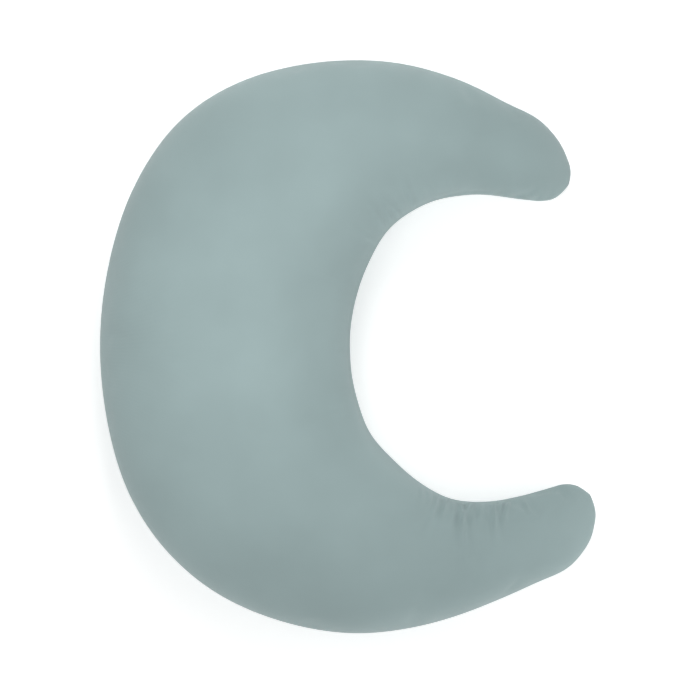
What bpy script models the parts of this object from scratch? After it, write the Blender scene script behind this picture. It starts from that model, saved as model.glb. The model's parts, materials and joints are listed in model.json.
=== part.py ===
"""Nursing pillow: a fibre-filled crescent in a cotton case, inside a zipped stretch cover.

Metres, +Z up. The pillow lies on its flat underside at z = 0 with the waist opening
towards +X. The origin is the middle of the bottom of the bounding box.
Each cover panel turns in along the seam that runs round the whole edge. At the back, that
seam is a circular arc that holds the zip, so the slider runs on a vertical axis.
"""

import math
from collections import namedtuple

import bmesh
import bpy
from mathutils import Vector

COLLECTION = "nursing_pillow"

# Plan of the pillow: the back is one arc outside and one arc at the waist.
BACK_CENTRE_X = 0.1645
BACK_RADIUS = 0.4445
WAIST_CENTRE_X = 0.2205
WAIST_RADIUS = 0.219
BACK_STEP = math.radians(4.0)
BACK_STATIONS = 12

# Heights
BACK_HEIGHT = 0.160
SEAM_SHARE = 0.41            # height of the seam as a share of the local thickness

# Cover, case and filling
COVER_THICKNESS = 0.0012
COVER_TURN_IN = 0.0062       # seam allowance folded inside the cover
CASE_THICKNESS = 0.0007
CASE_TURN_IN = 0.005
CASE_SIDE_INSET = 0.0125     # the case stays behind the zip and the seam allowance
CASE_HEIGHT_INSET = 0.0022
FILLING_SIDE_INSET = 0.0200
FILLING_HEIGHT_INSET = 0.0036
SEAM_HALF_GAP = 0.00025
CROSS_STEP = math.radians(45.0)
CROSS_ROWS = 5
CURVE_ALLOWANCE = 1.0 / math.cos(CROSS_STEP / 2)   # what one subdivision takes off a curve
CORNER_SPREAD = 0.7          # spread of the turned-in points at a corner, in turn-ins
TIP_BULGE = 0.030            # bulge at which a section moves back by its whole inset

# Zip: depths are measured inwards from the back of the seam, heights from the seam.
SLOT_HALF_HEIGHT = 0.0042
SLOT_LAST_ANGLE = math.radians(23.0)
CHAIN_HALF_ANGLE = math.radians(19.6)
TAPE_HALF_ANGLE = math.radians(22.0)
SLIDER_HALF_TRAVEL = math.radians(18.9)
ARC_STEP = math.radians(2.0)
TAPE_DEPTH = (0.0073, 0.0079)
TAPE_HEIGHT = (0.0009, 0.0150)
COIL_DEPTH = (0.0051, 0.0070)
COIL_HEIGHT = (0.0009, 0.0030)
STOP_ANGLE = math.radians(20.0)
STOP_LENGTH = 0.0036
STOP_DEPTH = (0.0053, 0.0092)
STOP_HALF_HEIGHT = 0.0032
STOP_WEB_HEIGHT = 0.0002
TAPE_CLEARANCE = 0.0003
SLIDER_LENGTH = 0.0090
SLIDER_HALF_HEIGHT = 0.0038
OUTER_PLATE = (0.0039, 0.0048)
INNER_PLATE = (0.0082, 0.0091)
FLANGE_DEPTH = 0.0069
FLANGE_WIDTH = 0.0005
POST_LENGTH = 0.0022
POST_HALF_HEIGHT = 0.0005
POST_SETBACK = 0.0004
SLIDER_OVERLAP = 0.0002      # how far the slider's posts and flanges run into its plates
SLIDER_BEVEL = 0.00015
CROWN_LENGTH = 0.0060
CROWN_RISE = 0.0026
CROWN_WIDTH = 0.0014
CROWN_METAL = 0.0007
CROWN_GAP = 0.0003
CROWN_OUTER_CORNER = 0.0009
CROWN_INNER_CORNER = 0.0012
LOCK_PIN_LENGTH = 0.0030
LOCK_PIN_HALF_WIDTH = 0.0005
LOCK_PIN_THICKNESS = 0.0003
TAB_LENGTH = 0.0220
TAB_WIDTH = 0.0050
TAB_THICKNESS = 0.0009
TAB_EYE_LENGTH = 0.0044
TAB_EYE_WIDTH = 0.0026
TAB_BAR = 0.0009
TAB_BEVEL = 0.0002
TAB_DEPTH = 0.0028

# Care label, blank, sewn to the seam inside the cover beside the zip
LABEL_ANGLES = (math.radians(23.6), math.radians(27.2))
LABEL_TOP_DROP = 0.0020
LABEL_DROP = 0.0240
LABEL_DEPTH = 0.0095
LABEL_SLANT = 0.0055
LABEL_THICKNESS = 0.0003

Station = namedtuple("Station", "outer inner bulge height rise")

# Arms: seam at the outer edge, seam at the inner edge, thickness there. Each list runs from
# the back to the tip, and x and y are in metres.
UPPER_ARM = (
    ((-0.2355, 0.1955), (0.0237, 0.0960), 0.160),
    ((-0.2000, 0.2490), (0.0335, 0.1175), 0.159),
    ((-0.1520, 0.2870), (0.0520, 0.1400), 0.156),
    ((-0.0980, 0.3090), (0.0770, 0.1570), 0.150),
    ((-0.0400, 0.3220), (0.1040, 0.1675), 0.142),
    ((0.0200, 0.3250), (0.1330, 0.1720), 0.131),
    ((0.0790, 0.3180), (0.1620, 0.1720), 0.118),
    ((0.1340, 0.2990), (0.1885, 0.1675), 0.104),
)
LOWER_ARM = (
    ((-0.2330, -0.1960), (0.0225, -0.0955), 0.160),
    ((-0.1930, -0.2470), (0.0360, -0.1130), 0.159),
    ((-0.1430, -0.2840), (0.0570, -0.1345), 0.156),
    ((-0.0870, -0.3080), (0.0800, -0.1535), 0.150),
    ((-0.0290, -0.3225), (0.1050, -0.1690), 0.142),
    ((0.0310, -0.3252), (0.1330, -0.1760), 0.131),
    ((0.0900, -0.3145), (0.1620, -0.1755), 0.119),
    ((0.1470, -0.2970), (0.1910, -0.1705), 0.107),
)
# Tips: the outer and inner ends of the rounded end, and how far it bulges past their middle.
UPPER_TIP = ((0.1950, 0.2670), (0.2220, 0.1650), (0.0395, -0.0055), 0.076)
LOWER_TIP = ((0.2310, -0.2590), (0.2460, -0.1555), (0.0400, 0.0060), 0.078)
SHOULDER_SHARE = 0.55        # where the last full section lies between the arm and the tip
SHOULDER_RISE = 0.93
SHOULDER_BULGE = 0.45


# ---------------------------------------------------------------- materials and objects

def clear_scene():
    for obj in list(bpy.data.objects):
        bpy.data.objects.remove(obj, do_unlink=True)


def make_collection(name, cutters=False):
    collection = bpy.data.collections.new(name)
    bpy.context.scene.collection.children.link(collection)
    collection.hide_render = cutters
    return collection


def make_material(name, colour, roughness, metallic=0.0):
    material = bpy.data.materials.new(name)
    material.use_nodes = True
    shader = material.node_tree.nodes["Principled BSDF"]
    shader.inputs["Base Color"].default_value = (*colour, 1.0)
    shader.inputs["Roughness"].default_value = roughness
    shader.inputs["Metallic"].default_value = metallic
    material.diffuse_color = (*colour, 1.0)
    return material


def object_from(mesh_data, name, material, collection):
    """Turns a bmesh into an object of its own and frees the bmesh."""
    mesh = bpy.data.meshes.new(name)
    mesh_data.to_mesh(mesh)
    mesh_data.free()
    if material:
        mesh.materials.append(material)
    obj = bpy.data.objects.new(name, mesh)
    collection.objects.link(obj)
    return obj


def shade_smooth(obj, sharp_angle=math.radians(40.0)):
    obj.data.shade_smooth()
    obj.data.set_sharp_from_angle(angle=sharp_angle)


# ---------------------------------------------------------------- pillow form

def back_station(angle):
    """Section of the back at an angle from -X. Its control points allow for one subdivision."""
    direction = Vector((-math.cos(angle), math.sin(angle)))
    allowance = 1.0 / math.cos(BACK_STEP / 2)
    outer = Vector((BACK_CENTRE_X, 0.0)) + direction * BACK_RADIUS * allowance
    inner = Vector((WAIST_CENTRE_X, 0.0)) + direction * WAIST_RADIUS * allowance
    return Station(outer, inner, Vector((0.0, 0.0)), BACK_HEIGHT, 1.0)


def arm_stations(arm, tip):
    """Sections of one arm from the back out, ending with its shoulder and its tip."""
    found = [
        Station(Vector(outer), Vector(inner), Vector((0.0, 0.0)), height, 1.0)
        for outer, inner, height in arm
    ]
    last = found[-1]
    outer, inner, bulge, height = (Vector(tip[0]), Vector(tip[1]), Vector(tip[2]), tip[3])
    found.append(Station(
        last.outer.lerp(outer, SHOULDER_SHARE),
        last.inner.lerp(inner, SHOULDER_SHARE),
        bulge * SHOULDER_BULGE,
        last.height + (height - last.height) * SHOULDER_SHARE,
        SHOULDER_RISE,
    ))
    found.append(Station(outer, inner, bulge * CURVE_ALLOWANCE, height, 0.0))
    return found


def all_stations(every=1):
    """Sections from the upper tip round the back to the lower tip."""
    half = (BACK_STATIONS - 1) / 2
    back = [back_station((half - i) * BACK_STEP) for i in range(BACK_STATIONS)]
    upper = arm_stations(UPPER_ARM, UPPER_TIP)[::-1]
    lower = arm_stations(LOWER_ARM, LOWER_TIP)
    middle = upper[2:] + back + lower[:-2]
    return upper[:2] + middle[::every] + lower[-2:]


def inset_station(station, side):
    """The section moved in from the seam by a distance. Towards a tip it also moves back."""
    across = (station.inner - station.outer).normalized()
    forward = station.bulge.normalized()
    back = forward * side * min(1.0, station.bulge.length / TIP_BULGE)
    return station._replace(
        outer=station.outer + across * side - back,
        inner=station.inner - across * side - back,
    )


def slot_half_height(station):
    """Half the seam's opening: the zip's slot over the back, or a plain gap."""
    arm = station.outer - Vector((BACK_CENTRE_X, 0.0))
    on_back = abs(math.atan2(arm.y, -arm.x)) < SLOT_LAST_ANGLE
    return SLOT_HALF_HEIGHT if on_back else SEAM_HALF_GAP


def section_points(station, side, height_inset, outer_gap):
    """One section from the outer seam to the inner one.

    side is +1 for the upper half and -1 for the lower half.
    """
    middle = (station.outer + station.inner) / 2
    reach = (station.outer - station.inner) / 2
    seam = station.height * SEAM_SHARE
    lift = (station.height - height_inset - seam) * station.rise
    points = []
    for row in range(CROSS_ROWS):
        angle = row * CROSS_STEP
        if row in (0, CROSS_ROWS - 1):
            plan = middle + reach * math.cos(angle)
            height = seam + side * (outer_gap if row == 0 else SEAM_HALF_GAP)
        else:
            plan = middle + reach * math.cos(angle) * CURVE_ALLOWANCE
            plan += station.bulge * math.sin(angle)
            if station.rise == 0:
                height = seam + side * SEAM_HALF_GAP
            elif side > 0:
                height = seam + lift * math.sin(angle) * CURVE_ALLOWANCE
            else:
                height = height_inset    # the underside lies flat
        points.append(Vector((plan.x, plan.y, height)))
    return points


def half_cage(stations, side, height_inset, slotted):
    """Grid of control points for one half: one list for each station, seam to seam."""
    grid = []
    for station in stations:
        gap = slot_half_height(station) if slotted else SEAM_HALF_GAP
        grid.append(section_points(station, side, height_inset, gap))
    return grid


def edge_loop(columns, rows):
    """The grid's edge positions in order: outer seam, last tip, inner seam, first tip."""
    loop = [(c, 0) for c in range(columns)]
    loop += [(columns - 1, r) for r in range(1, rows)]
    loop += [(c, rows - 1) for c in range(columns - 2, -1, -1)]
    return loop + [(0, r) for r in range(rows - 2, 0, -1)]


def add_turned_edge(grid, turn_in):
    """Adds the seam allowance as a ring of points inside the edge.

    The edge's own points move out, so that the subdivided edge lies where it was asked for.
    """
    columns, rows = len(grid), len(grid[0])
    loop = edge_loop(columns, rows)
    edge = {}
    for i, (c, r) in enumerate(loop):
        before = grid[loop[i - 1][0]][loop[i - 1][1]]
        after_column, after_row = loop[(i + 1) % len(loop)]
        tangent = (grid[after_column][after_row] - before).to_2d().normalized()
        normal = Vector((-tangent.y, tangent.x))
        inside = grid[min(max(c, 1), columns - 2)][min(max(r, 1), rows - 2)]
        reach = (inside - grid[c][r]).to_2d().dot(normal)
        if reach < 0:
            normal, reach = -normal, -reach
        edge[(c, r)] = (grid[c][r].copy(), tangent, normal, (turn_in + reach) / 6)
    for (c, r), (point, tangent, normal, overshoot) in edge.items():
        shift = normal * overshoot
        grid[c][r] = point - Vector((shift.x, shift.y, 0.0))

    def turned(c, r, along=0.0):
        point, tangent, normal, overshoot = edge[(c, r)]
        shift = normal * turn_in + tangent * along
        return point + Vector((shift.x, shift.y, 0.0))

    # At each corner of the grid the ring has three points, spread along the round edge.
    spread = turn_in * CORNER_SPREAD
    grown = []
    for c, sign in ((0, 1), (columns - 1, -1)):
        line = [turned(c, 0), turned(c, 0, -sign * spread)]
        line += [turned(c, r) for r in range(1, rows - 1)]
        line += [turned(c, rows - 1, sign * spread), turned(c, rows - 1)]
        grown.append(line)
    for c in range(columns):
        along = spread if c == 0 else (-spread if c == columns - 1 else 0.0)
        line = [turned(c, 0, along), *grid[c], turned(c, rows - 1, -along)]
        grown.insert(len(grown) - 1, line)
    return grown


def fill_grid(mesh_data, grid, side):
    """Makes the grid's quads, facing away from the pillow's middle. Returns the vertices."""
    verts = [[mesh_data.verts.new(point) for point in column] for column in grid]
    for c in range(len(grid) - 1):
        for r in range(len(grid[0]) - 1):
            corners = [verts[c][r], verts[c + 1][r], verts[c + 1][r + 1], verts[c][r + 1]]
            mesh_data.faces.new(corners if side > 0 else corners[::-1])
    return verts


def smooth_cage(obj):
    modifier = obj.modifiers.new("Subdivision", "SUBSURF")
    modifier.levels = 1
    modifier.render_levels = 1
    modifier.boundary_smooth = "ALL"
    modifier.use_limit_surface = False


def make_panel(name, side, layer, material, collection):
    """A sewn panel: a subdivided cage, given its thickness inwards."""
    stations = [inset_station(s, layer["side_inset"]) for s in all_stations(layer["every"])]
    grid = half_cage(stations, side, layer["height_inset"], layer["slotted"])
    mesh_data = bmesh.new()
    fill_grid(mesh_data, add_turned_edge(grid, layer["turn_in"]), side)
    obj = object_from(mesh_data, name, material, collection)
    smooth_cage(obj)
    shell = obj.modifiers.new("Solidify", "SOLIDIFY")
    shell.thickness = layer["thickness"]
    shell.offset = -1.0
    shell.use_even_offset = True
    shade_smooth(obj)
    return obj


def make_filling(name, material, collection):
    """The fibre filling: both halves of a cage that share the points of one closed edge."""
    stations = [inset_station(s, FILLING_SIDE_INSET) for s in all_stations(2)]
    mesh_data = bmesh.new()
    for side in (1, -1):
        grid = half_cage(stations, side, FILLING_HEIGHT_INSET, False)
        for column in grid:
            for point in (column[0], column[-1]):
                point.z += -side * SEAM_HALF_GAP
        for column in (grid[0], grid[-1]):
            for point in column[1:-1]:
                point.z += -side * SEAM_HALF_GAP
        fill_grid(mesh_data, grid, side)
    bmesh.ops.remove_doubles(mesh_data, verts=mesh_data.verts[:], dist=1e-5)
    obj = object_from(mesh_data, name, material, collection)
    smooth_cage(obj)
    shade_smooth(obj)
    return obj


# ---------------------------------------------------------------- zip

SEAM_HEIGHT = BACK_HEIGHT * SEAM_SHARE


def back_point(angle, depth, height):
    """A point near the back seam: angle round the arc, depth inwards, height from the seam."""
    reach = BACK_RADIUS - depth
    return Vector((
        BACK_CENTRE_X - math.cos(angle) * reach,
        math.sin(angle) * reach,
        SEAM_HEIGHT + height,
    ))


def make_arc(name, half_angle, depths, heights, material, collection):
    """A strip of rectangular section, spun about the back's axis."""
    corners = [(depths[0], heights[0]), (depths[1], heights[0]),
               (depths[1], heights[1]), (depths[0], heights[1])]
    mesh_data = bmesh.new()
    verts = [mesh_data.verts.new(back_point(half_angle, d, h)) for d, h in corners]
    mesh_data.faces.new(verts)
    bmesh.ops.spin(
        mesh_data,
        geom=mesh_data.verts[:] + mesh_data.edges[:] + mesh_data.faces[:],
        cent=(BACK_CENTRE_X, 0.0, 0.0),
        axis=(0.0, 0.0, 1.0),
        angle=2 * half_angle,
        steps=round(2 * half_angle / ARC_STEP),
        use_duplicate=False,
    )
    bmesh.ops.recalc_face_normals(mesh_data, faces=mesh_data.faces[:])
    return object_from(mesh_data, name, material, collection)


def box_mesh(lowest, highest):
    """A bmesh cube stretched between two corners."""
    mesh_data = bmesh.new()
    bmesh.ops.create_cube(mesh_data, size=1.0)
    size = [h - l for l, h in zip(lowest, highest)]
    middle = [(h + l) / 2 for l, h in zip(lowest, highest)]
    for vert in mesh_data.verts:
        vert.co = Vector([m + s * c for m, s, c in zip(middle, size, vert.co)])
    return mesh_data


def box_object(name, lowest, highest, material, collection):
    return object_from(box_mesh(lowest, highest), name, material, collection)


def boolean(obj, other, operation):
    modifier = obj.modifiers.new(operation.title(), "BOOLEAN")
    modifier.operation = operation
    modifier.object = other


def hide_tool(obj, parent=None):
    obj.hide_render = True
    obj.display_type = "WIRE"
    obj.parent = parent


def add_bevel(obj, width, segments=1):
    modifier = obj.modifiers.new("Bevel", "BEVEL")
    modifier.width = width
    modifier.segments = segments
    modifier.limit_method = "ANGLE"


def place_on_arc(obj, angle):
    """Local X runs along the zip, local Y outwards from the arc's centre, local Z up."""
    obj.location = (BACK_CENTRE_X, 0.0, SEAM_HEIGHT)
    obj.rotation_euler = (0.0, 0.0, math.pi / 2 - angle)


def radial(depth):
    return BACK_RADIUS - depth


def make_stop(name, angle, heights, material, collection, cutters):
    """A metal stop that is clamped round the tape beside the chain's end."""
    lowest = (-STOP_LENGTH / 2, radial(STOP_DEPTH[1]), heights[0])
    highest = (STOP_LENGTH / 2, radial(STOP_DEPTH[0]), heights[1])
    stop = box_object(name, lowest, highest, material, collection)
    place_on_arc(stop, angle)
    for side in (-1, 1):
        edge = TAPE_HEIGHT[0] - TAPE_CLEARANCE
        low, high = sorted((side * edge, side * 2 * STOP_HALF_HEIGHT))
        if high <= heights[0] or low >= heights[1]:
            continue
        cutter = box_object(
            f"{name}_tape_slot_{'upper' if side > 0 else 'lower'}",
            (-STOP_LENGTH, radial(TAPE_DEPTH[1] + TAPE_CLEARANCE), low),
            (STOP_LENGTH, radial(TAPE_DEPTH[0] - TAPE_CLEARANCE), high),
            None,
            cutters,
        )
        place_on_arc(cutter, angle)
        hide_tool(cutter)
        boolean(stop, cutter, "DIFFERENCE")
    return stop


def make_slider_body(material, collection, cutters, axis):
    """Two plates held by a post, with flanges that keep the chain between them."""
    half = SLIDER_LENGTH / 2
    body = box_object(
        "zip_slider_body",
        (-half, radial(OUTER_PLATE[1]), -SLIDER_HALF_HEIGHT),
        (half, radial(OUTER_PLATE[0]), SLIDER_HALF_HEIGHT),
        material,
        collection,
    )
    body.parent = axis
    pieces = {
        "slider_inner_plate": (
            (-half, radial(INNER_PLATE[1]), -SLIDER_HALF_HEIGHT),
            (half, radial(INNER_PLATE[0]), SLIDER_HALF_HEIGHT),
        ),
        "slider_post": (
            (half - POST_LENGTH, radial(INNER_PLATE[1] - SLIDER_OVERLAP), -POST_HALF_HEIGHT),
            (half - POST_SETBACK, radial(OUTER_PLATE[0] + SLIDER_OVERLAP), POST_HALF_HEIGHT),
        ),
    }
    for side, label in ((1, "upper"), (-1, "lower")):
        low, high = sorted((side * SLIDER_HALF_HEIGHT,
                            side * (SLIDER_HALF_HEIGHT - FLANGE_WIDTH)))
        pieces[f"slider_flange_{label}"] = (
            (-half, radial(FLANGE_DEPTH), low),
            (half, radial(OUTER_PLATE[0] + SLIDER_OVERLAP), high),
        )
    for name, (lowest, highest) in pieces.items():
        tool = box_object(name, lowest, highest, None, cutters)
        hide_tool(tool, axis)
        boolean(body, tool, "UNION")
    add_bevel(body, SLIDER_BEVEL)
    return body


def make_crown(material, collection, axis):
    """The bail on the slider: a flat strap bent over the pull tab's bar."""
    half = CROWN_LENGTH / 2
    base = radial(OUTER_PLATE[0]) + CROWN_GAP
    top = base + CROWN_RISE
    corner = CROWN_OUTER_CORNER
    outline = [(-half, base), (-half, top - corner), (-half + corner, top),
               (half - corner, top), (half, top - corner), (half, base)]
    leg = half - CROWN_METAL
    turn = CROWN_INNER_CORNER
    inner = [(leg, base), (leg, top - turn), (half - turn, top - CROWN_METAL),
             (-half + turn, top - CROWN_METAL), (-leg, top - turn), (-leg, base)]
    mesh_data = bmesh.new()
    verts = [mesh_data.verts.new((x, y, -CROWN_WIDTH / 2)) for x, y in outline + inner]
    mesh_data.faces.new(verts)
    grown = bmesh.ops.extrude_face_region(mesh_data, geom=mesh_data.faces[:])["geom"]
    moved = [item for item in grown if isinstance(item, bmesh.types.BMVert)]
    bmesh.ops.translate(mesh_data, verts=moved, vec=(0.0, 0.0, CROWN_WIDTH))
    bmesh.ops.recalc_face_normals(mesh_data, faces=mesh_data.faces[:])
    crown = object_from(mesh_data, "zip_slider_crown", material, collection)
    crown.parent = axis
    return crown


def make_lock_pin(material, collection, axis):
    """The sprung pin under the crown that stops the slider from creeping."""
    base = radial(OUTER_PLATE[0]) + CROWN_GAP
    pin = box_object(
        "zip_lock_spring",
        (-LOCK_PIN_LENGTH / 2, base, -LOCK_PIN_HALF_WIDTH),
        (LOCK_PIN_LENGTH / 2, base + LOCK_PIN_THICKNESS, LOCK_PIN_HALF_WIDTH),
        material,
        collection,
    )
    pin.parent = axis
    return pin


def make_pull_tab(material, collection, cutters, axis):
    """The pull tab. Its bar passes under the crown, and the eye clears the crown's legs."""
    half_bar = TAB_BAR / 2
    tab = box_object(
        "zip_pull_tab",
        (-TAB_LENGTH + half_bar, -TAB_THICKNESS / 2, -TAB_WIDTH / 2),
        (half_bar, TAB_THICKNESS / 2, TAB_WIDTH / 2),
        material,
        collection,
    )
    tab.parent = axis
    eye = box_object(
        "pull_tab_eye",
        (-half_bar - TAB_EYE_LENGTH, -TAB_THICKNESS, -TAB_EYE_WIDTH / 2),
        (-half_bar, TAB_THICKNESS, TAB_EYE_WIDTH / 2),
        None,
        cutters,
    )
    hide_tool(eye, axis)
    boolean(tab, eye, "DIFFERENCE")
    add_bevel(tab, TAB_BEVEL)
    return tab


def make_zip(materials, collection, cutters):
    for side, label in ((1, "upper"), (-1, "lower")):
        for kind, half_angle, depths, heights in (
            ("tape", TAPE_HALF_ANGLE, TAPE_DEPTH, TAPE_HEIGHT),
            ("coil", CHAIN_HALF_ANGLE, COIL_DEPTH, COIL_HEIGHT),
        ):
            signed = sorted(side * height for height in heights)
            make_arc(f"zip_{kind}_{label}", half_angle, depths, signed,
                     materials[kind], collection)
        edge = sorted((side * STOP_WEB_HEIGHT, side * STOP_HALF_HEIGHT))
        make_stop(f"zip_top_stop_{label}", STOP_ANGLE, edge, materials["metal"],
                  collection, cutters)
    make_stop("zip_bottom_stop", -STOP_ANGLE, (-STOP_HALF_HEIGHT, STOP_HALF_HEIGHT),
              materials["metal"], collection, cutters)

    travel_axis = bpy.data.objects.new("zip_travel_axis", None)
    collection.objects.link(travel_axis)
    place_on_arc(travel_axis, SLIDER_HALF_TRAVEL)
    make_slider_body(materials["metal"], collection, cutters, travel_axis)
    make_crown(materials["metal"], collection, travel_axis)
    make_lock_pin(materials["metal"], collection, travel_axis)

    tab_axis = bpy.data.objects.new("pull_tab_axis", None)
    collection.objects.link(tab_axis)
    tab_axis.parent = travel_axis
    tab_axis.location = (0.0, radial(TAB_DEPTH), 0.0)
    make_pull_tab(materials["metal"], collection, cutters, tab_axis)


# ---------------------------------------------------------------- label and assembly

def make_care_label(material, collection):
    """A blank strip that hangs from the seam allowance between the cover and the case."""
    columns, rows = 3, 5
    mesh_data = bmesh.new()
    verts = []
    for c in range(columns):
        angle = LABEL_ANGLES[0] + (LABEL_ANGLES[1] - LABEL_ANGLES[0]) * c / (columns - 1)
        line = []
        for r in range(rows):
            drop = LABEL_TOP_DROP + LABEL_DROP * r / (rows - 1)
            depth = LABEL_DEPTH + LABEL_SLANT * (drop / LABEL_DROP) ** 2
            line.append(mesh_data.verts.new(back_point(angle, depth, -drop)))
        verts.append(line)
    for c in range(columns - 1):
        for r in range(rows - 1):
            mesh_data.faces.new([verts[c][r], verts[c][r + 1],
                                 verts[c + 1][r + 1], verts[c + 1][r]])
    label = object_from(mesh_data, "care_label", material, collection)
    shell = label.modifiers.new("Solidify", "SOLIDIFY")
    shell.thickness = LABEL_THICKNESS
    return label


def main():
    clear_scene()
    collection = make_collection(COLLECTION)
    cutters = make_collection("cutters", cutters=True)
    cover = make_material("cover_fabric", (0.33, 0.41, 0.405), 0.85)
    materials = {
        "tape": make_material("zip_tape_fabric", (0.36, 0.43, 0.425), 0.80),
        "coil": make_material("zip_coil_plastic", (0.42, 0.48, 0.475), 0.40),
        "metal": make_material("zip_metal", (0.62, 0.63, 0.63), 0.32, 1.0),
    }
    case = make_material("case_cotton", (0.86, 0.86, 0.84), 0.85)
    fibre = make_material("fibre_filling", (0.93, 0.93, 0.92), 0.95)
    label = make_material("label_satin", (0.90, 0.90, 0.88), 0.45)

    cover_layer = {"every": 1, "side_inset": 0.0, "height_inset": 0.0, "slotted": True,
                   "turn_in": COVER_TURN_IN, "thickness": COVER_THICKNESS}
    case_layer = {"every": 2, "side_inset": CASE_SIDE_INSET, "slotted": False,
                  "height_inset": CASE_HEIGHT_INSET,
                  "turn_in": CASE_TURN_IN, "thickness": CASE_THICKNESS}
    make_panel("cover_top_panel", 1, cover_layer, cover, collection)
    make_panel("cover_bottom_panel", -1, cover_layer, cover, collection)
    make_panel("inner_case_top_panel", 1, case_layer, case, collection)
    make_panel("inner_case_bottom_panel", -1, case_layer, case, collection)
    make_filling("fibre_filling", fibre, collection)
    make_zip(materials, collection, cutters)
    make_care_label(label, collection)


main()
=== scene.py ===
"""Looks of the nursing pillow: a stretch cover, its zip, and the cotton pillow inside.

Metres, +Z up, in the frame's own axes. The pillow's form is measured from the CAD cover, with
rays from the zip's hinge axis, and then rebuilt as smooth surfaces. t runs from 0 at the upper
arm's tip to pi at the lower arm's. An angle in plan is 0 at the back (-X), positive to +Y.
"""

import json
import math

import bmesh
import bpy
import numpy as np
from mathutils import Matrix, Vector, noise
from mathutils.bvhtree import BVHTree


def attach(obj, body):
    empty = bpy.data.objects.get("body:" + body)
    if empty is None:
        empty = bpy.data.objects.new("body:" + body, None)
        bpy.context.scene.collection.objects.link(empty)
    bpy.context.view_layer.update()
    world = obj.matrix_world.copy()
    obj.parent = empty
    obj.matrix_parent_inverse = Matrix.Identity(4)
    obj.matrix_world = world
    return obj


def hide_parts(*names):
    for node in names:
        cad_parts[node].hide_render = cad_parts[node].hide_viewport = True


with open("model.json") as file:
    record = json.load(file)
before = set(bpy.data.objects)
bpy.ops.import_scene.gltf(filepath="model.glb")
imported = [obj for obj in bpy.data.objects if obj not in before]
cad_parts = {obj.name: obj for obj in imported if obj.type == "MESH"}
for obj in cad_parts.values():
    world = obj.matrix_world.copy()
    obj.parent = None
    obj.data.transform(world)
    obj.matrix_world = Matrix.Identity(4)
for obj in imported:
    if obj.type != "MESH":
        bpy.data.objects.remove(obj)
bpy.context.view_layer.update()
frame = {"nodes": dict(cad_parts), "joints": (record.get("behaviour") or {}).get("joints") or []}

JOINTS = {joint["name"]: joint for joint in frame["joints"]}
AXIS = np.array(JOINTS["zip_travel"]["pos_m"])
SEAM_HEIGHT = AXIS[2]
HALVES = ((1, "top"), (-1, "bottom"))
ZIP_SIDES = ((1, "upper"), (-1, "lower"))


# ---------------------------------------------------------------- measuring the CAD form

MEASURED_FROM = 0.05         # t of the first measured section
SECTIONS = 260
RAY_HEIGHTS = np.arange(0.008, 0.076, 0.002)
RAY_REACH = 0.7              # rays that look inwards start this far from the axis
FLANGE_INSET = 0.003         # the seam's height is measured this far in from the inner edge
CAD_HALF_GAP = 0.00025       # the CAD top panel's edge lies this far above the seam
CREST_SHARES = np.linspace(0.3, 0.7, 15)
HELD_FROM = 0.10             # nearer a tip than this, the curves settle to one value
TIP_REACH = 0.22             # t over which the tips' own corrections fade
UPPER_TIP_SHIFT = 0.004      # the upper tip lies further out than its arm's middle line
TIP_BLUNTNESS = 0.10         # and both tips are blunter than their CAD sections


def node_tree(*names):
    """One ray-casting tree of the named CAD nodes."""
    verts, faces = [], []
    for name in names:
        mesh = frame["nodes"][name].data
        start = len(verts)
        verts += [vert.co.copy() for vert in mesh.vertices]
        faces += [[start + i for i in face.vertices] for face in mesh.polygons]
    return BVHTree.FromPolygons(verts, faces)


def direction(angle):
    """Unit vector in plan at an angle from the back."""
    return Vector((-math.cos(angle), math.sin(angle), 0.0))


def fit_cosines(t, values, terms, weights=1.0):
    """A smooth curve through measured values: a short cosine series in t."""
    basis = np.cos(np.outer(t, np.arange(terms)))
    scale = np.broadcast_to(weights, t.shape)
    found = np.linalg.lstsq(basis * scale[:, None], values * scale, rcond=None)[0]

    def curve(at):
        at = np.atleast_1d(at)
        held = (at + HELD_FROM * np.exp(-at / HELD_FROM)
                - HELD_FROM * np.exp((at - math.pi) / HELD_FROM))
        return np.cos(np.outer(held, np.arange(terms))) @ found

    return curve


def edge_radii(cover, centre, along):
    """Least and greatest distance of the cover from the axis, looking one way in plan."""
    inner, outer = [], []
    for height in RAY_HEIGHTS:
        start = centre + Vector((0, 0, height))
        hit = cover.ray_cast(start, along)[0]
        back = cover.ray_cast(start + along * RAY_REACH, -along)[0]
        if hit and back:
            inner.append((hit - start).length)
            outer.append((back - start).length)
    return (min(inner), max(outer)) if inner else None


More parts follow.
